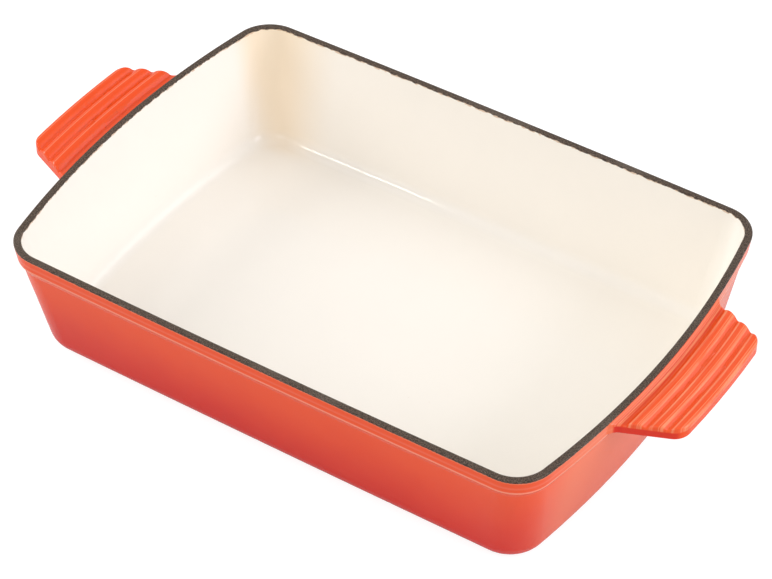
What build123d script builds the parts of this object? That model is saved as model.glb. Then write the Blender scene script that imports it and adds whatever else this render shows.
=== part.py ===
from build123d import *
from math import asin, degrees, hypot, sqrt
import os

# A rectangular gratin dish: one iron casting with fired enamel coats.
# Millimetres, +Z up, X along the length, origin at the middle of the base.

# Rim
rim_opening_length = 330.0
rim_opening_width = 228.5
rim_land = 3.6
rim_corner_radius = 17.6
rim_end_bow = 13.0
rim_side_bow = 1.4
rim_outer_rounding = 0.8
rim_inner_rounding = 0.5

# Collar under the rim, and the undercut that ends it
collar_height = 9.5
collar_draft = 1.0
collar_edge_rounding = 0.5
undercut_height = 3.4
undercut_depth = 1.6
undercut_rounding = 1.2

# Walls and base
dish_height = 72.0
base_inset_at_ends = 13.2
base_inset_at_sides = 13.9
base_end_bow = 9.3
base_side_bow = 0.6
base_corner_radius = 21.0
base_rounding = 11.4
inside_base_rounding = 7.9
floor_thickness = 4.2

# Handles, one at each end, with ribs that follow the bowed end
handle_length = 30.4
handle_drop = 8.8
handle_tip_half_width = 38.8
handle_root_half_width = 52.4
handle_corner_radius = 9.6
handle_root_embedment = 2.9
handle_flare_distance = 1.8
handle_flare_turn = 30.0
handle_flare_radius = 4.0
handle_top_edge_rounding = 1.1
handle_bottom_edge_rounding = 1.0
iron_bottom_edge_rounding = 0.6
rib_count = 3
rib_pitch = 9.1
rib_height = 2.5
rib_crest_drop = 1.2
rib_valley_radius = 1.3
first_valley_distance = 5.1
root_valley_radius = 8.7

# Enamel coats
enamel_thickness = 0.4
ground_coat_wrap_outside = 1.0
ground_coat_wrap_inside = 0.5
base_panel_margin = 1.0

# Worked out from the lengths above
rim_length = rim_opening_length + 2 * rim_land
rim_width = rim_opening_width + 2 * rim_land
collar_foot_height = dish_height - collar_height
wall_top_height = collar_foot_height - undercut_height
wall_top_inset = collar_draft + undercut_depth


def bow_radius(chord, bow):
    """Radius of the arc that stands a bow's height above its chord."""
    return ((chord / 2) ** 2 + bow**2) / (2 * bow)


rim_end_radius = bow_radius(rim_width, rim_end_bow)
rim_end_centre = Vector(rim_length / 2 - rim_end_radius, 0)

# How near two places must be to count as one
tolerance = 1e-3


def flipped(point):
    """The point on the other side of the X axis."""
    return Vector(point.X, -point.Y)


def crossing(first_centre, first_radius, second_centre, second_radius):
    """Where two circles cross, on the left of the line from the first centre to the second."""
    between = second_centre - first_centre
    along = between.normalized()
    foot = (first_radius**2 - second_radius**2 + between.length**2) / (2 * between.length)
    across = sqrt(first_radius**2 - foot**2)
    return first_centre + along * foot + Vector(-along.Y, along.X) * across


def bowed_rectangle(length, width, end_bow, side_bow, corner_radius, height):
    """Level face with bowed ends, bowed sides and rounded corners, centred on the Z axis."""
    end_radius = bow_radius(width, end_bow)
    side_radius = bow_radius(length, side_bow)
    end_centre = Vector(length / 2 - end_radius, 0)
    side_centre = Vector(0, width / 2 - side_radius)
    centre = crossing(end_centre, end_radius - corner_radius, side_centre, side_radius - corner_radius)
    to_end = (centre - end_centre).normalized()
    to_side = (centre - side_centre).normalized()
    end_joint = end_centre + to_end * end_radius
    side_joint = side_centre + to_side * side_radius
    corner_middle = centre + (to_end + to_side).normalized() * corner_radius

    def arc(start, middle, end):
        return Edge.make_three_point_arc(start, middle, end)

    def across(point):
        return Vector(-point.X, point.Y)

    half = [
        arc(flipped(end_joint), Vector(length / 2, 0), end_joint),
        arc(end_joint, corner_middle, side_joint),
        arc(side_joint, Vector(0, width / 2), across(side_joint)),
        arc(across(side_joint), across(corner_middle), across(end_joint)),
    ]
    outline = Wire(half + [edge.rotate(Axis.Z, 180) for edge in half])
    return Pos(0, 0, height) * Face(outline)


def level_edges(solid, height):
    """The solid's edges that lie wholly at one height."""
    return [
        edge
        for edge in solid.edges()
        if abs(edge.bounding_box().min.Z - height) < tolerance and abs(edge.bounding_box().max.Z - height) < tolerance
    ]


def wall_section(height, depth):
    """Outer outline of the tapered wall at a height, set inwards by a depth."""
    share = (wall_top_height - height) / wall_top_height
    end_inset = wall_top_inset + share * (base_inset_at_ends - wall_top_inset) + depth
    side_inset = wall_top_inset + share * (base_inset_at_sides - wall_top_inset) + depth
    top_corner = rim_corner_radius + rim_land
    return bowed_rectangle(
        rim_length - 2 * end_inset,
        rim_width - 2 * side_inset,
        rim_end_bow + share * (base_end_bow - rim_end_bow),
        rim_side_bow + share * (base_side_bow - rim_side_bow),
        top_corner + share * (base_corner_radius - top_corner) - depth,
        height,
    )


def collar_section(height, inset, depth):
    """Outer outline of the collar at a height."""
    return bowed_rectangle(
        rim_length - 2 * (inset + depth),
        rim_width - 2 * (inset + depth),
        rim_end_bow,
        rim_side_bow,
        rim_corner_radius + rim_land - depth,
        height,
    )


def tray_outside(depth):
    """Solid inside the tray's outer surface, set inwards by a depth and without handles."""
    collar_foot = collar_section(collar_foot_height, collar_draft, depth)
    wall_top = wall_section(wall_top_height, depth)
    walls = loft([wall_section(depth, depth), wall_top], ruled=True)
    walls = fillet(level_edges(walls, depth), base_rounding - depth)
    undercut = loft([wall_top, collar_foot], ruled=True)
    collar = loft([collar_foot, collar_section(dish_height - depth, 0, depth)], ruled=True)
    tray = walls + undercut + collar
    tray = fillet(level_edges(tray, collar_foot_height), collar_edge_rounding - depth)
    tray = fillet(level_edges(tray, wall_top_height), undercut_rounding + depth)
    return fillet(level_edges(tray, dish_height - depth), rim_outer_rounding - depth)


def cavity_section(height, depth):
    """Outline of the tray's inner surface at a height, set outwards by a depth."""
    below_rim = dish_height - height
    share = below_rim / wall_top_height
    end_inset = share * (base_inset_at_ends - wall_top_inset) - depth
    side_inset = share * (base_inset_at_sides - wall_top_inset) - depth
    return bowed_rectangle(
        rim_opening_length - 2 * end_inset,
        rim_opening_width - 2 * side_inset,
        rim_end_bow + share * (base_end_bow - rim_end_bow),
        rim_side_bow + share * (base_side_bow - rim_side_bow),
        rim_corner_radius + depth,
        height,
    )


def tray_cavity(depth):
    """Solid that fills the tray's inside and stands above its rim."""
    floor_height = floor_thickness - depth
    floor = cavity_section(floor_height, depth)
    cavity = loft([floor, cavity_section(dish_height + collar_height, depth)], ruled=True)
    return fillet(level_edges(cavity, floor_height), inside_base_rounding + depth)


def tray(outside, depth):
    """The open tray cut from its outer solid, with every surface set into the metal by a depth."""
    body = outside - tray_cavity(depth)
    rim_top = body.faces().sort_by(Axis.Z)[-1]
    return fillet(rim_top.inner_wires()[0].edges(), rim_inner_rounding - depth)


def on_ring(distance, across):
    """Point at a distance outside the rim's bowed end, to one side of the X axis."""
    return rim_end_centre + Vector(sqrt((rim_end_radius + distance) ** 2 - across**2), across)


def ring_arc(distance, start, end):
    """Arc along the ring at a distance outside the rim's bowed end."""
    return Edge.make_three_point_arc(start, on_ring(distance, (start.Y + end.Y) / 2), end)


def side_meets_ring(point, direction, distance):
    """Where the handle's straight side crosses the ring at a distance outside the rim."""
    offset = point - rim_end_centre
    along = offset.dot(direction)
    radius = rim_end_radius + distance
    return point + direction * (sqrt(along**2 - offset.dot(offset) + radius**2) - along)


def corners_at(face, point):
    """The face's two corners at a point and at its flipped point."""
    places = (point, flipped(point))
    return [v for v in face.vertices() if any((v.center() - place).length < tolerance for place in places)]


def inward_normal(direction):
    """Level direction square to a side's outward run, towards the X axis."""
    return Vector(direction.Y, -direction.X)


def handle_plan(depth):
    """Level face of a handle: tapered, with a bowed tip and a flared root, set inwards by a depth."""
    root = on_ring(0, handle_root_half_width)
    side = (on_ring(handle_length, handle_tip_half_width) - root).normalized()
    flare = side.rotate(Axis.Z, -handle_flare_turn)
    neck = side_meets_ring(root, side, handle_flare_distance)
    inwards = inward_normal(side) + inward_normal(flare)
    neck = neck + inwards * (2 * depth / inwards.length**2)
    tip_distance = handle_length - depth
    foot_distance = -handle_root_embedment - depth
    tip = side_meets_ring(neck, side, tip_distance)
    foot = side_meets_ring(neck, flare, foot_distance)
    edges = [
        ring_arc(tip_distance, flipped(tip), tip),
        Edge.make_line(tip, neck),
        Edge.make_line(neck, foot),
        ring_arc(foot_distance, foot, flipped(foot)),
        Edge.make_line(flipped(foot), flipped(neck)),
        Edge.make_line(flipped(neck), flipped(tip)),
    ]
    plan = Face(Wire(edges))
    plan = fillet(corners_at(plan, tip), handle_corner_radius - depth)
    return fillet(corners_at(plan, neck), handle_flare_radius + depth)


def handle_profile(depth):
    """Upright face of a handle along the X axis, ribbed on top, set inwards by a depth."""
    crest_height = dish_height - rib_crest_drop
    rib_radius = bow_radius(rib_pitch, rib_height)
    first_centre = Vector(first_valley_distance + rib_pitch / 2, crest_height - rib_radius)
    rib_centres = [first_centre + Vector(rib * rib_pitch, 0) for rib in range(rib_count + 1)]
    root_centre = Vector(first_valley_distance, crest_height - rib_height + root_valley_radius)
    inner_rib = rib_radius - depth
    outer_root = root_valley_radius + depth
    start_distance = -handle_root_embedment - depth
    underside = dish_height - handle_drop + depth

    def place(point):
        return Vector(rim_length / 2 + point.X, 0, point.Y)

    def root_point(distance):
        run = first_valley_distance - distance
        return Vector(distance, root_centre.Y - sqrt(outer_root**2 - run**2))

    root_top = root_point(start_distance)
    root_middle = root_point(start_distance / 2)
    valleys = [crossing(rib_centres[0], inner_rib, root_centre, outer_root)]
    for centre, next_centre in zip(rib_centres, rib_centres[1:]):
        valleys.append(crossing(centre, inner_rib, next_centre, inner_rib))
    crests = [centre + Vector(0, inner_rib) for centre in rib_centres]
    tip_foot = Vector(valleys[-1].X, underside)
    root_foot = Vector(start_distance, underside)
    arcs = [(root_top, root_middle, valleys[0]), *zip(valleys, crests, valleys[1:])]
    lines = [(valleys[-1], tip_foot), (tip_foot, root_foot), (root_foot, root_top)]
    edges = [Edge.make_three_point_arc(*map(place, points)) for points in arcs]
    edges += [Edge.make_line(*map(place, points)) for points in lines]
    profile = Face(Wire(edges))
    sharp = [place(valley) for valley in valleys[:-1]]
    corners = [v for v in profile.vertices() if any((v.center() - point).length < tolerance for point in sharp)]
    return fillet(corners, rib_valley_radius + depth)


def handle_edges(handle, rim_side):
    """Edges between a handle's sides and the faces that look up or down, but for its root's end."""
    level_faces = [face for face in handle.faces() if face.normal_at().Z * rim_side > tolerance]
    side_faces = [face for face in handle.faces() if abs(face.normal_at().Z) < tolerance]
    side_edges = [edge for face in side_faces for edge in face.edges()]
    foot_radius = rim_end_radius - handle_root_embedment / 2
    return [
        edge
        for face in level_faces
        for edge in face.edges()
        if hypot(edge.center().X - rim_end_centre.X, edge.center().Y) > foot_radius
        and any(edge.is_same(other) for other in side_edges)
    ]


def handle(depth, bottom_rounding):
    """The handle on the +X end, set inwards by a depth, with its root reaching into the rim's wall."""
    half_sweep = degrees(asin((handle_root_half_width + handle_length) / rim_end_radius))
    axis = Axis(rim_end_centre, (0, 0, 1))
    ribbed = revolve(handle_profile(depth), axis=axis, revolution_arc=2 * half_sweep)
    ribbed = ribbed.rotate(axis, -half_sweep)
    column_top = dish_height - ground_coat_wrap_outside - depth
    column = extrude(Pos(0, 0, column_top) * handle_plan(depth), amount=handle_drop, dir=(0, 0, -1))
    blank = ribbed & column
    blank = fillet(handle_edges(blank, 1), handle_top_edge_rounding - depth)
    return fillet(handle_edges(blank, -1), bottom_rounding)


def slab_above(height):
    """Block that holds everything above a height."""
    block = Box(2 * rim_length, 2 * rim_width, dish_height, align=(Align.CENTER, Align.CENTER, Align.MIN))
    return Pos(0, 0, height) * block


def mid_rim_prism():
    """Upright prism on the outline that runs along the middle of the rim's top."""
    middle = bowed_rectangle(
        rim_opening_length + rim_land,
        rim_opening_width + rim_land,
        rim_end_bow,
        rim_side_bow,
        rim_corner_radius + rim_land / 2,
        0,
    )
    return extrude(middle, amount=2 * dish_height, dir=(0, 0, 1))


def base_panel():
    """Flat enamel panel under the base, which the dish stands on, just inside the base's rounding."""
    inset = base_rounding + base_panel_margin
    panel = bowed_rectangle(
        rim_length - 2 * (base_inset_at_ends + inset),
        rim_width - 2 * (base_inset_at_sides + inset),
        base_end_bow,
        base_side_bow,
        base_corner_radius - inset,
        0,
    )
    return extrude(panel, amount=enamel_thickness, dir=(0, 0, 1))


def with_handles(body, right_handle):
    """The body joined with a handle at each end."""
    return body + right_handle + mirror(right_handle, Plane.YZ)


def parts():
    """Every node of the dish by name."""
    outside = tray_outside(0)
    iron_outside = tray_outside(enamel_thickness)
    iron_handle = handle(enamel_thickness, iron_bottom_edge_rounding)
    coated_handle = handle(0, handle_bottom_edge_rounding)
    iron_tray = tray(iron_outside, enamel_thickness)

    coat_top = slab_above(dish_height - ground_coat_wrap_outside)
    outer_coat = with_handles(outside, coated_handle) - with_handles(iron_outside, iron_handle)
    outer_coat = outer_coat - coat_top - base_panel()

    lining_top = slab_above(dish_height - ground_coat_wrap_inside)
    lining = tray_cavity(enamel_thickness) - tray_cavity(0) - lining_top

    rim_zone = (coat_top - mid_rim_prism()) + lining_top
    rim_coat = (tray(outside, 0) - iron_tray) & rim_zone

    bare_handle = iron_handle - iron_outside
    return {
        "iron_tray": iron_tray,
        "iron_handle_right": bare_handle,
        "iron_handle_left": mirror(bare_handle, Plane.YZ),
        "rim_ground_coat": rim_coat,
        "lining_enamel": lining,
        "outer_enamel": outer_coat,
        "base_enamel": base_panel(),
    }


os.makedirs("parts", exist_ok=True)
for name, shape in parts().items():
    export_step(shape, f"parts/{name}.step")
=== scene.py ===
from math import cos, pi, radians, sin

import bpy
from bpy.props import FloatProperty, FloatVectorProperty, PointerProperty
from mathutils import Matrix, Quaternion, Vector


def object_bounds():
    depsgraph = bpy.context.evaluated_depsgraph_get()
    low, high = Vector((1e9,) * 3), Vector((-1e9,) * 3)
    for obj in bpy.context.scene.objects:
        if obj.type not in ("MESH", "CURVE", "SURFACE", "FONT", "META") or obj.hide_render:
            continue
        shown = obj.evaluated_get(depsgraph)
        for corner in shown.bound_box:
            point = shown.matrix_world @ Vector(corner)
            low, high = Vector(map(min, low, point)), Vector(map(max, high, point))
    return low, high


bl_info = {
    "name": "Enamelled gratin dish",
    "version": (1, 0, 0),
    "blender": (4, 5, 0),
    "location": "View3D > Sidebar > Gratin dish",
    "description": "Fires the enamels on a cast iron gratin dish and sets it in a white studio",
    "category": "Object",
}

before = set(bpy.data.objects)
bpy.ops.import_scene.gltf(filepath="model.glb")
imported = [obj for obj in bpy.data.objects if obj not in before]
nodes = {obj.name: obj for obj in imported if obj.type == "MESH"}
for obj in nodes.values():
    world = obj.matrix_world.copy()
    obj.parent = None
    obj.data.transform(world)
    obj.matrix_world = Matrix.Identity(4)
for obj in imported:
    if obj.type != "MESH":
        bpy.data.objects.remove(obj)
cad_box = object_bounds()
rim_height = cad_box[1].z
millimetre = 0.001


def mm(*lengths):
    """Lengths in millimetres as a tuple in metres."""
    return tuple(length * millimetre for length in lengths)


# The bowed end that the handles' ribs follow, as in the CAD
rim_half_length = 168.6 * millimetre
rim_width = 235.7 * millimetre
rim_end_bow = 13.0 * millimetre
rim_end_radius = ((rim_width / 2) ** 2 + rim_end_bow**2) / (2 * rim_end_bow)
rib_pitch = 9.1 * millimetre
first_valley = 5.1 * millimetre

# Where the coats end under the rim's top, as in the CAD
outside_top = rim_height - 1.0 * millimetre
lining_top = rim_height - 0.5 * millimetre

# Heights over which the outside changes its tone: two for one change, four for a band's rise and its
# fall. The walls' painted shade fades out upwards over the first, and the collar's two bands are painted
# highlights
wall_shade_fade = mm(12, 74)
collar_highlight_band = mm(62.3, 62.7, 63.1, 64.0)
collar_ridge_highlight = mm(65.4, 66.4, 66.6, 67.8)
handle_side_top = mm(67.2, 68.2)
rib_shoulder = mm(67.4, 68.4)

# The same by the distance from the rim's bowed end, which is over 0 on the handles
wall_end = mm(-24, -16)
handle_start = mm(0.5, 1.5)
handle_root = mm(3, 5)
handle_tip = mm(27, 29)

# The same by the distance along the dish and across it
right_half = mm(-100, 100)
wall_end_side = mm(70, 108)
# Where the lining's painted corner shade lies: leftwards along the dish, and across it
corner_along = mm(100, 145)
corner_across = mm(84, 104)

# What most values of a noise lie between
noise_range = (0.35, 0.65)

# How much rougher a glaze's bare ground coat is than the glaze
bare_roughness = 0.3

# Places of a Mix node's colour sockets
mix_first = 6
mix_second = 7
mix_result = 2

white = (1, 1, 1)
cool_white = (0.96, 0.98, 1.12)

# Each lamp's name, place, width, property with its power, and colour
lamps = (
    ("back_lamp", (1.3, 1.1, 1.5), 1.4, "back_power", white),
    ("right_lamp", (1.9, 0.3, 0.9), 1.2, "right_power", cool_white),
    ("left_lamp", (-1.9, -0.3, 1.0), 1.2, "left_power", white),
    ("front_lamp", (0.0, -1.6, 1.3), 1.0, "front_power", white),
    ("small_lamp", (-0.82, -0.95, 1.2), 0.16, "small_power", white),
)


class Field:
    """A number, colour or vector that varies over a surface: one output of a shader node.

    Sums written with it add their Math nodes to the same material.
    """

    def __init__(self, socket):
        self.socket = socket
        self.tree = socket.id_data

    def node(self, kind, settings=None, inputs=None, output=0):
        """Adds a node to this field's material and returns one of its outputs."""
        return add_node(self.tree, kind, settings, inputs, output)

    def math(self, operation, first, second=0.0):
        """Adds a Math node."""
        return self.node("ShaderNodeMath", {"operation": operation}, {0: first, 1: second})

    def __add__(self, other):
        return self.math("ADD", self, other)

    def __sub__(self, other):
        return self.math("SUBTRACT", self, other)

    def __rsub__(self, other):
        return self.math("SUBTRACT", other, self)

    def __mul__(self, other):
        return self.math("MULTIPLY", self, other)

    def __truediv__(self, other):
        return self.math("DIVIDE", self, other)

    def __abs__(self):
        return self.math("ABSOLUTE", self)

    __radd__ = __add__

    def root(self):
        """Its square root."""
        return self.math("SQRT", self)

    def cosine(self):
        """Its cosine."""
        return self.math("COSINE", self)


def add_node(tree, kind, settings=None, inputs=None, output=0):
    """Adds a shader node: its settings first, then the values or links of its sockets."""
    made = tree.nodes.new(kind)
    for name, value in (settings or {}).items():
        setattr(made, name, value)
    for name, value in (inputs or {}).items():
        if isinstance(value, Field):
            tree.links.new(value.socket, made.inputs[name])
        else:
            made.inputs[name].default_value = value
    return Field(made.outputs[output])


def new_material(name):
    """A material without any node."""
    material = bpy.data.materials.new(name)
    material.use_nodes = True
    material.node_tree.nodes.clear()
    return material


def own_position(material):
    """Where on the object a place of its surface lies."""
    return add_node(material.node_tree, "ShaderNodeTexCoord", output="Object")


def along(position, axis):
    """One coordinate of a position."""
    return position.node("ShaderNodeSeparateXYZ", {}, {0: position}, axis)


def noise(position, size, detail=2.0):
    """Soft noise from 0 to 1 whose patches measure about a size across."""
    inputs = {"Vector": position, "Scale": 1 / size, "Detail": detail}
    return position.node("ShaderNodeTexNoise", {}, inputs, "Fac")


def step(value, low, high):
    """0 below the low value, 1 above the high one and a smooth rise between."""
    inputs = {"Value": value, "From Min": low, "From Max": high}
    return value.node("ShaderNodeMapRange", {"interpolation_type": "SMOOTHSTEP"}, inputs)


def band(value, low, rise_end, fall_start, high):
    """1 between two values, and a smooth fall to 0 on either side."""
    return step(value, low, rise_end) * (1 - step(value, fall_start, high))


def dots(position, spacing, radius):
    """1 inside sparse round dots and 0 between them."""
    inputs = {"Vector": position, "Scale": 1 / spacing}
    reach = position.node("ShaderNodeTexVoronoi", {}, inputs, "Distance") * spacing
    return 1 - step(reach, radius / 2, radius)


def blend(share, first, second):
    """The first colour where the share is 0 and the second where it is 1."""
    inputs = {0: share}
    for socket, colour in ((mix_first, first), (mix_second, second)):
        inputs[socket] = colour if isinstance(colour, Field) else (*colour, 1)
    return share.node("ShaderNodeMix", {"data_type": "RGBA"}, inputs, mix_result)


def lay_over(tone, layers):
    """A tone under layers in order, each a share that covers it and the layer's colour."""
    for share, colour in layers:
        tone = blend(share, tone, colour)
    return tone


def finish_material(material, shader):
    """Joins a shader to the material's output."""
    tree = material.node_tree
    output = tree.nodes.new("ShaderNodeOutputMaterial")
    tree.links.new(shader.socket, output.inputs["Surface"])


def surface(material, relief, depth, sockets):
    """Finishes a material with a relief, whose 1 stands a depth over its 0, and the shader's sockets."""
    tree = material.node_tree
    normal = add_node(tree, "ShaderNodeBump", {}, {"Height": relief, "Distance": depth})
    shader = add_node(tree, "ShaderNodeBsdfPrincipled", {}, {"Normal": normal, **sockets})
    finish_material(material, shader)


def glaze_roughness(least, spread, drift, bare):
    """A glaze's roughness, which drifts, and more of it where the ground coat is bare."""
    return least + drift * spread + bare * bare_roughness


def wear_material(material, *names):
    """Puts a material on CAD nodes in place of the one that they came with."""
    for name in names:
        for slot in nodes[name].material_slots:
            slot.material = material


def beyond_rim(position):
    """How far a place lies outside the rim's bowed end."""
    from_centre = abs(along(position, "X")) - (rim_half_length - rim_end_radius)
    across = along(position, "Y")
    return (from_centre * from_centre + across * across).root() - rim_end_radius


def ragged_edge(position, height, wander):
    """1 above a level line that wanders down by up to a distance, and 0 below it."""
    patch = 4 * wander
    drop = step(noise(position, patch, detail=4.0), *noise_range) * wander
    soft = wander / 8
    return step(along(position, "Z") + drop, height - soft, height + soft)


class GratinEnamel(bpy.types.PropertyGroup):
    """Colours of the coats, and the sizes of what shows in them"""

    outside_colour: FloatVectorProperty(
        name="Outside",
        description="Enamel on the walls and handles",
        subtype="COLOR",
        default=(0.86, 0.074, 0.006),
    )
    # Used for painted shade as well as thicker enamel: the walls darken towards the base partly as
    # painted shade, and the right handle's side face and root take it as painted shade only
    deep_and_shade_colour: FloatVectorProperty(
        name="Outside, thick",
        description="The same enamel where it lies thicker, as towards the base and by a handle's root",
        subtype="COLOR",
        default=(0.68, 0.013, 0.003),
    )
    # Used for painted light as well as thinner enamel: the paler ends of the walls are a painted
    # reflection and the bands on the ribs' shoulders painted highlights, while the ragged top edge and
    # the crest lines are thinner glaze
    thin_and_sheen_colour: FloatVectorProperty(
        name="Outside, thin",
        description="The same enamel where it thins, as over the ribs, at the ends and along its edge",
        subtype="COLOR",
        default=(0.90, 0.27, 0.12),
    )
    # A painted highlight: the collar's two pale bands stand in for light caught along its edge and its
    # middle
    collar_highlight_colour: FloatVectorProperty(
        name="Collar's edge",
        description="The same enamel where it thins over the edge of the rim's collar",
        subtype="COLOR",
        default=(0.90, 0.30, 0.18),
    )
    lining_colour: FloatVectorProperty(
        name="Lining",
        description="Enamel inside the dish",
        subtype="COLOR",
        default=(0.94, 0.888, 0.81),
    )
    # Painted shade: a tan tint in the back left corner of the lining, standing in for the shade and the
    # light bounced between its cream walls there
    corner_shade_colour: FloatVectorProperty(
        name="Lining in a corner",
        description="The lining where it has gathered in the back left corner",
        subtype="COLOR",
        default=(0.92, 0.75, 0.54),
    )
    edge_colour: FloatVectorProperty(
        name="Lining's edge",
        description="Where the lining thins at the rim, and in its pinholes",
        subtype="COLOR",
        default=(0.62, 0.40, 0.24),
    )
    ground_coat_colour: FloatVectorProperty(
        name="Ground coat",
        description="Bare ground coat on the rim",
        subtype="COLOR",
        default=(0.066, 0.045, 0.032),
    )
    grain_colour: FloatVectorProperty(
        name="Grains",
        description="Pale grains in the ground coat",
        subtype="COLOR",
        default=(0.32, 0.27, 0.22),
    )
    iron_colour: FloatVectorProperty(
        name="Iron",
        description="Cast iron under the coats",
        subtype="COLOR",
        default=(0.16, 0.16, 0.17),
    )
    drift_size: FloatProperty(
        name="Drift",
        description="Width of the slow changes of tone",
        unit="LENGTH",
        default=45 * millimetre,
    )
    peel_size: FloatProperty(
        name="Ripple",
        description="Width of the ripples in the glaze",
        unit="LENGTH",
        default=5 * millimetre,
    )
    peel_depth: FloatProperty(
        name="Ripple depth",
        description="Depth of the ripples",
        unit="LENGTH",
        default=0.03 * millimetre,
    )
    edge_wander: FloatProperty(
        name="Ragged edge",
        description="How far the coats' edges wander along the rim",
        unit="LENGTH",
        default=0.6 * millimetre,
    )
    grain_size: FloatProperty(
        name="Grain",
        description="Width of the grains in the ground coat and the iron",
        unit="LENGTH",
        default=0.8 * millimetre,
    )
    streak_width: FloatProperty(
        name="Streaks",
        description="Width of the streaks along the ribs",
        unit="LENGTH",
        default=0.8 * millimetre,
    )
    dot_spacing: FloatProperty(
        name="Pinholes",
        description="Distance between pinholes in the lining",
        unit="LENGTH",
        default=14 * millimetre,
    )


class GratinStudio(bpy.types.PropertyGroup):
    """Camera, lamps and sky"""

    azimuth: FloatProperty(
        name="Azimuth",
        description="How far round the camera stands",
        subtype="ANGLE",
        default=radians(33.171),
    )
    elevation: FloatProperty(
        name="Elevation",
        description="How steeply the camera looks down",
        subtype="ANGLE",
        default=radians(42.193),
    )
    roll: FloatProperty(
        name="Roll",
        description="The camera's tilt",
        subtype="ANGLE",
        default=radians(0.224),
    )
    distance: FloatProperty(
        name="Distance",
        description="From the camera to its target",
        subtype="DISTANCE",
        default=1.532,
    )
    target: FloatVectorProperty(
        name="Target",
        description="Where the camera looks",
        subtype="XYZ",
        unit="LENGTH",
        default=(0.02412, -0.03456, 0.07168),
    )
    lens: FloatProperty(
        name="Focal length",
        description="Of the camera's lens, in millimetres",
        subtype="DISTANCE_CAMERA",
        default=142.3,
    )
    back_power: FloatProperty(
        name="Back lamp",
        description="Power of the large lamp behind the right",
        subtype="POWER",
        default=11.5,
    )
    right_power: FloatProperty(
        name="Right lamp",
        description="Power of the large lamp at the right",
        subtype="POWER",
        default=17.4,
    )
    left_power: FloatProperty(
        name="Left lamp",
        description="Power of the large lamp at the left",
        subtype="POWER",
        default=20.8,
    )
    front_power: FloatProperty(
        name="Front lamp",
        description="Power of the lamp at the front",
        subtype="POWER",
        default=8.5,
    )
    small_power: FloatProperty(
        name="Small lamp",
        description="Power of the small lamp that draws the thin highlights",
        subtype="POWER",
        default=1.7,
    )
    sky: FloatProperty(
        name="Sky",
        description="Strength of the light from all round",
        default=0.5,
    )
    mirrored_sky: FloatProperty(
        name="Sky in reflections",
        description="How far reflections see the sky at full white",
        default=0.75,
    )


class GRATIN_OT_iron(bpy.types.Operator):
    """Gives the casting its iron"""

    bl_idname = "gratin.iron"
    bl_label = "Cast the iron"

    shade = 0.6
    roughness = 0.6
    metallic = 0.8
    relief_depth = 0.2 * millimetre

    def execute(self, context):
        look = context.scene.gratin_enamel
        material = new_material("cast_iron_skin")
        grain = noise(own_position(material), look.grain_size, detail=4.0)
        tone = blend(grain, look.iron_colour * self.shade, look.iron_colour)
        sockets = {"Base Color": tone, "Roughness": self.roughness, "Metallic": self.metallic}
        surface(material, grain, self.relief_depth, sockets)
        wear_material(material, "iron_tray", "iron_handle_right", "iron_handle_left")
        return {"FINISHED"}


class GRATIN_OT_rim(bpy.types.Operator):
    """Leaves the ground coat bare on the rim"""

    bl_idname = "gratin.rim"
    bl_label = "Coat the rim"

    # How dark and how light the coat gets
    shade = 0.35
    light = 1.9

    # The noises' values over which each tone sets in, and how much of the tone below it covers
    rough_range = (0.3, 0.7)
    worn_range = (0.5, 0.8)
    worn_share = 0.25
    grain_range = (0.62, 0.72)
    grain_share = 0.9

    least_roughness = 0.5
    roughness_spread = 0.2
    refraction = 1.3
    relief_depth = 0.25 * millimetre

    def execute(self, context):
        look = context.scene.gratin_enamel
        material = new_material("bare_ground_coat")
        position = own_position(material)
        rough = noise(position, look.grain_size, detail=3.0)
        worn = noise(position, look.drift_size)
        grains = noise(position, look.grain_size / 2, detail=1.0)
        coat = look.ground_coat_colour
        tone = blend(step(rough, *self.rough_range), coat * self.shade, coat * self.light)
        layers = (
            (step(worn, *self.worn_range) * self.worn_share, look.grain_colour),
            (step(grains, *self.grain_range) * self.grain_share, look.grain_colour),
        )
        sockets = {
            "Base Color": lay_over(tone, layers),
            "Roughness": self.least_roughness + rough * self.roughness_spread,
            "IOR": self.refraction,
        }
        surface(material, rough, self.relief_depth, sockets)
        wear_material(material, "rim_ground_coat")
        return {"FINISHED"}


class GRATIN_OT_lining(bpy.types.Operator):
    """Fires the cream enamel inside"""

    bl_idname = "gratin.lining"
    bl_label = "Line the inside"

    shade = 0.975
    dots_per_spacing = 50

    # The thin edge begins a part of the bare edge's wander below it and wanders further
    thin_start = 1 / 3
    thin_wander = 1.5

    # How much of the tone below each layer covers
    corner_shade_share = 0.85
    dot_share = 0.5
    thin_share = 0.7
    least_roughness = 0.08
    roughness_spread = 0.05
    refraction = 1.45

    def execute(self, context):
        look = context.scene.gratin_enamel
        material = new_material("cream_glaze")
        position = own_position(material)
        drift = noise(position, look.drift_size)
        ripple = noise(position, look.peel_size)
        pinholes = dots(position, look.dot_spacing, look.dot_spacing / self.dots_per_spacing)
        leftwards = 0 - along(position, "X")
        # Painted shade in the back left corner only
        painted_corner_shade = step(leftwards, *corner_along) * step(along(position, "Y"), *corner_across)
        wander = look.edge_wander
        thin = ragged_edge(position, lining_top - self.thin_start * wander, self.thin_wander * wander)
        bare = ragged_edge(position, lining_top, wander)
        tone = blend(drift, look.lining_colour * self.shade, look.lining_colour)
        layers = (
            (painted_corner_shade * self.corner_shade_share, look.corner_shade_colour),
            (pinholes * self.dot_share, look.edge_colour),
            (thin * self.thin_share, look.edge_colour),
            (bare, look.ground_coat_colour),
        )
        sockets = {
            "Base Color": lay_over(tone, layers),
            "Roughness": glaze_roughness(self.least_roughness, self.roughness_spread, drift, bare),
            "IOR": self.refraction,
        }
        surface(material, ripple - pinholes, look.peel_depth, sockets)
        wear_material(material, "lining_enamel")
        return {"FINISHED"}


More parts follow.
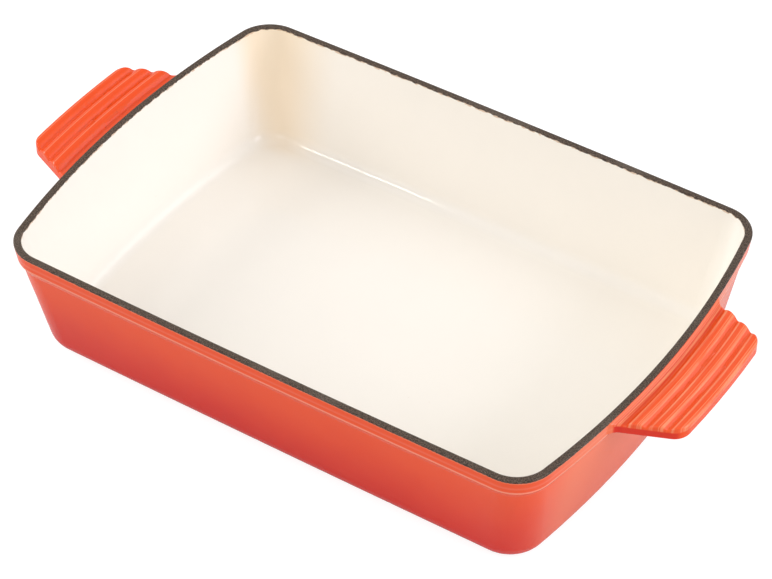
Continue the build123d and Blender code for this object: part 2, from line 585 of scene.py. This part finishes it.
class GRATIN_OT_outside(bpy.types.Operator):
    """Fires the orange enamel on the walls, handles and base"""

    bl_idname = "gratin.outside"
    bl_label = "Enamel the outside"

    # How far the drift of tone moves the lighter tone down the walls, over their painted shade towards
    # the base
    shade_fade_drift = 20 * millimetre

    # How much of the tone below each layer covers
    end_sheen_share = 0.5
    side_shade_share = 0.8
    collar_highlight_share = 0.9
    ridge_highlight_share = 0.22
    root_shade_share = 0.6
    thin_share = 0.5
    least_roughness = 0.16
    roughness_spread = 0.08
    refraction = 1.38

    # Where the pale bands lie on a rib, in parts of the ribs' pitch: the first shoulder's painted
    # highlight's middle from the valley, and the crest's from that
    shoulder_phase = 0.22
    crest_phase = 0.36

    # How narrow they are, by the part of a cosine that shows
    shoulder_range = (0.2, 1.0)
    crest_range = (0.97, 1.0)

    # How long the streaks are for their width, and how strong each kind of mark is; the shoulders'
    # painted highlights and the extra at the right are painted light
    streak_stretch = 40
    unbroken = 0.4
    left_highlight_strength = 0.1
    right_highlight_gain = 0.75
    crest_strength = 0.6
    loose_streaks = 0.15

    def execute(self, context):
        look = context.scene.gratin_enamel
        material = new_material("orange_glaze")
        position = own_position(material)
        height = along(position, "Z")
        beyond = beyond_rim(position)
        on_right = step(along(position, "X"), *right_half)
        on_handle = step(beyond, *handle_start)
        off_handle = 1 - on_handle
        drift = noise(position, look.drift_size)
        ripple = noise(position, look.peel_size)
        # The walls darker towards the base: painted shade where the floor bounces less light onto them,
        # partly enamel lying thicker
        shade_fades_upward = step(height + drift * self.shade_fade_drift, *wall_shade_fade)
        # Painted reflection: the ends of the walls paler, as where they mirror the bright floor
        painted_end_sheen = step(beyond, *wall_end) * off_handle
        painted_end_sheen = painted_end_sheen * (1 - step(abs(along(position, "Y")), *wall_end_side))
        # Painted shade on the right handle only: its side face below the top and short of the tip, and
        # its root by the collar, where less light falls
        painted_side_shade = on_handle * (1 - step(height, *handle_side_top))
        painted_side_shade = painted_side_shade * (1 - step(beyond, *handle_tip)) * on_right
        painted_root_shade = on_handle * (1 - step(beyond, *handle_root)) * on_right
        wander = look.edge_wander / 2
        thin = ragged_edge(position, outside_top - look.edge_wander, wander) * off_handle
        bare = ragged_edge(position, outside_top, wander) * off_handle
        # Layers over the walls' tone: painted reflection at the ends, painted shade on the right handle,
        # the collar's painted highlights, the ribs' thinner glaze and painted highlights, and the thin
        # and bare ragged top edge
        layers = (
            (painted_end_sheen * self.end_sheen_share, look.thin_and_sheen_colour),
            (painted_side_shade * self.side_shade_share, look.deep_and_shade_colour),
            (band(height, *collar_highlight_band) * off_handle * self.collar_highlight_share, look.collar_highlight_colour),
            (band(height, *collar_ridge_highlight) * off_handle * self.ridge_highlight_share, look.collar_highlight_colour),
            (painted_root_shade * self.root_shade_share, look.deep_and_shade_colour),
            (self.crests(position, beyond, look) * on_handle, look.thin_and_sheen_colour),
            (thin * self.thin_share, look.thin_and_sheen_colour),
            (bare, look.ground_coat_colour),
        )
        sockets = {
            "Base Color": lay_over(blend(shade_fades_upward, look.deep_and_shade_colour, look.outside_colour), layers),
            "Roughness": glaze_roughness(self.least_roughness, self.roughness_spread, drift, bare),
            "IOR": self.refraction,
        }
        surface(material, ripple, look.peel_depth, sockets)
        wear_material(material, "outer_enamel", "base_enamel")
        return {"FINISHED"}

    def crests(self, position, beyond, look):
        """How far the ribs are paler: two painted highlight bands on each one's shoulders, a line on its
        crest where the glaze thins, and streaks; all but the line are stronger towards the right, which
        is painted light.
        """
        phase = (beyond - first_valley) / rib_pitch - self.shoulder_phase
        shoulder_highlights = step((phase * (4 * pi)).cosine(), *self.shoulder_range)
        crests = step(((phase - self.crest_phase) * (2 * pi)).cosine(), *self.crest_range)
        stretched = {"X": beyond, "Y": along(position, "Y") / self.streak_stretch}
        across = position.node("ShaderNodeCombineXYZ", {}, stretched)
        streaks = step(noise(across, look.streak_width, detail=3.0), *noise_range)
        high = step(along(position, "Z"), *rib_shoulder)
        # Painted light: the marks grow stronger from the left handle to the right one, where the light
        # falls on the ribs
        lit_rightwards = step(along(position, "X"), -rim_half_length, rim_half_length)
        broken = self.unbroken + streaks * (1 - self.unbroken)
        bands = shoulder_highlights * broken * (lit_rightwards * self.right_highlight_gain + self.left_highlight_strength)
        return (bands + crests * self.crest_strength + streaks * lit_rightwards * self.loose_streaks) * high


class GRATIN_OT_stage(bpy.types.Operator):
    """Sets the floor, the lamps, the sky and the camera"""

    bl_idname = "gratin.stage"
    bl_label = "Set the stage"

    floor_width = 12
    floor_gap = 0.2 * millimetre
    floor_colour = (0.8, 0.8, 0.8, 1)
    floor_glow = 1.4
    glow_to_camera = 0.6
    glow_in_reflections = 0.05
    sky_colour = (1, 1, 1, 1)

    def execute(self, context):
        studio = context.scene.gratin_studio
        self.floor()
        self.sky(context.scene, studio)
        middle = Vector((0, 0, rim_height / 2))
        for name, place, width, power, colour in lamps:
            self.lamp(name, Vector(place), middle, width, getattr(studio, power), colour)
        self.camera(context.scene, studio)
        context.scene.view_settings.view_transform = "Standard"
        return {"FINISHED"}

    def floor(self):
        """Wide white floor just under the dish, brighter to the camera than its light makes it."""
        bpy.ops.object.select_all(action="DESELECT")
        bpy.ops.mesh.primitive_plane_add(size=self.floor_width, location=(0, 0, -self.floor_gap))
        ground = bpy.context.object
        ground.name = "floor"
        material = new_material("white_floor")
        tree = material.node_tree
        matt = add_node(tree, "ShaderNodeBsdfDiffuse", {}, {"Color": self.floor_colour})
        glow = add_node(tree, "ShaderNodeEmission", {}, {"Strength": self.floor_glow})
        seen = self.ray(tree, "Camera") * self.glow_to_camera
        seen = seen + self.mirrored(tree) * self.glow_in_reflections
        shader = add_node(tree, "ShaderNodeMixShader", {}, {0: seen, 1: matt, 2: glow})
        finish_material(material, shader)
        ground.data.materials.append(material)

    def ray(self, tree, kind):
        """1 where a ray of one kind meets the surface."""
        return add_node(tree, "ShaderNodeLightPath", {}, {}, f"Is {kind} Ray")

    def mirrored(self, tree):
        """1 where a reflected or refracted ray meets the surface."""
        return self.ray(tree, "Glossy") + self.ray(tree, "Transmission")

    def sky(self, scene, studio):
        """White to the camera, nearly so in reflections, and softer as a light."""
        world = bpy.data.worlds.new("white_sky")
        world.use_nodes = True
        tree = world.node_tree
        tree.nodes.clear()
        soft = self.background(tree, studio.sky)
        full = self.background(tree, 1.0)
        seen = self.ray(tree, "Camera") + self.mirrored(tree) * studio.mirrored_sky
        both = add_node(tree, "ShaderNodeMixShader", {}, {0: seen, 1: soft, 2: full})
        output = tree.nodes.new("ShaderNodeOutputWorld")
        tree.links.new(both.socket, output.inputs["Surface"])
        scene.world = world

    def background(self, tree, strength):
        """White light from all round."""
        inputs = {"Color": self.sky_colour, "Strength": strength}
        return add_node(tree, "ShaderNodeBackground", {}, inputs)

    def lamp(self, name, place, target, width, power, colour):
        """Square soft lamp that faces a target."""
        bpy.ops.object.light_add(type="AREA", location=place)
        made = bpy.context.object
        made.name = name
        made.data.name = name
        made.data.size = width
        made.data.energy = power
        made.data.color = colour
        made.rotation_mode = "QUATERNION"
        made.rotation_quaternion = (place - target).to_track_quat("Z", "Y")

    def camera(self, scene, studio):
        """The photograph's view."""
        level = cos(studio.elevation)
        back = Vector((sin(studio.azimuth) * level, -cos(studio.azimuth) * level, sin(studio.elevation)))
        bpy.ops.object.camera_add(location=Vector(studio.target) + back * studio.distance)
        made = bpy.context.object
        made.name = "camera"
        made.data.lens = studio.lens
        made.rotation_mode = "QUATERNION"
        made.rotation_quaternion = back.to_track_quat("Z", "Y") @ Quaternion((0, 0, 1), studio.roll)
        scene.camera = made


class GRATIN_PT_panel(bpy.types.Panel):
    """Lists the steps in order"""

    bl_idname = "GRATIN_PT_panel"
    bl_label = "Gratin dish"
    bl_space_type = "VIEW_3D"
    bl_region_type = "UI"
    bl_category = "Gratin dish"

    def draw(self, context):
        for step_class in steps:
            self.layout.operator(step_class.bl_idname)


steps = (GRATIN_OT_iron, GRATIN_OT_rim, GRATIN_OT_lining, GRATIN_OT_outside, GRATIN_OT_stage)
classes = (GratinEnamel, GratinStudio, *steps, GRATIN_PT_panel)


def register():
    for each in classes:
        bpy.utils.register_class(each)
    bpy.types.Scene.gratin_enamel = PointerProperty(type=GratinEnamel)
    bpy.types.Scene.gratin_studio = PointerProperty(type=GratinStudio)


def unregister():
    del bpy.types.Scene.gratin_studio
    del bpy.types.Scene.gratin_enamel
    for each in reversed(classes):
        bpy.utils.unregister_class(each)


def main():
    """Runs every step in order."""
    register()
    bpy.ops.gratin.iron()
    bpy.ops.gratin.rim()
    bpy.ops.gratin.lining()
    bpy.ops.gratin.outside()
    bpy.ops.gratin.stage()


if __name__ == "__main__":
    main()
